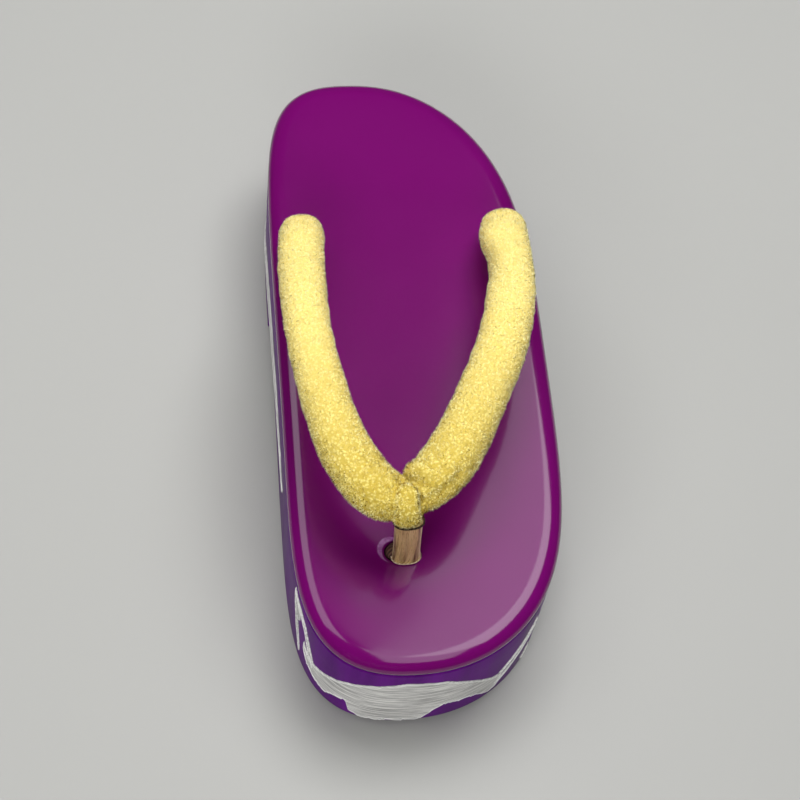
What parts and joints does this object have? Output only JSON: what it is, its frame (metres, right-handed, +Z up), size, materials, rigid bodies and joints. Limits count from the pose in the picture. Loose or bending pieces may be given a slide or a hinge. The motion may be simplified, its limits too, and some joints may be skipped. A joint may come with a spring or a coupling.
{
  "type": "geta sandal",
  "caption": "Thick-soled sandal for the left foot: glossy footbed on a block with heel, arch cut and toe spring, padded pile V strap and a toe post.",
  "frame": {"origin": "on the floor under the middle of the sole's outline", "axes": "+Z up, -Y towards the toe, +Y towards the heel, -X towards the big-toe side, +X towards the little-toe side"},
  "size_m": [0.0984, 0.244, 0.0941],
  "materials": {
    "plum_coat": "thick glossy urethane coat",
    "violet_lacquer": "satin violet lacquer over light wood",
    "silver_paint": "brushed-on pale silver paint",
    "pile_fabric": "short brushed pile",
    "satin_sleeve": "satin-woven tape",
    "cotton_cord": "twisted dark brown cotton cord"
  },
  "bodies": {
    "root": {"footbed": "plum_coat", "platform": "violet_lacquer", "hanao_strap": "pile_fabric", "toe_post": "satin_sleeve"}
  },
  "joints": []
}
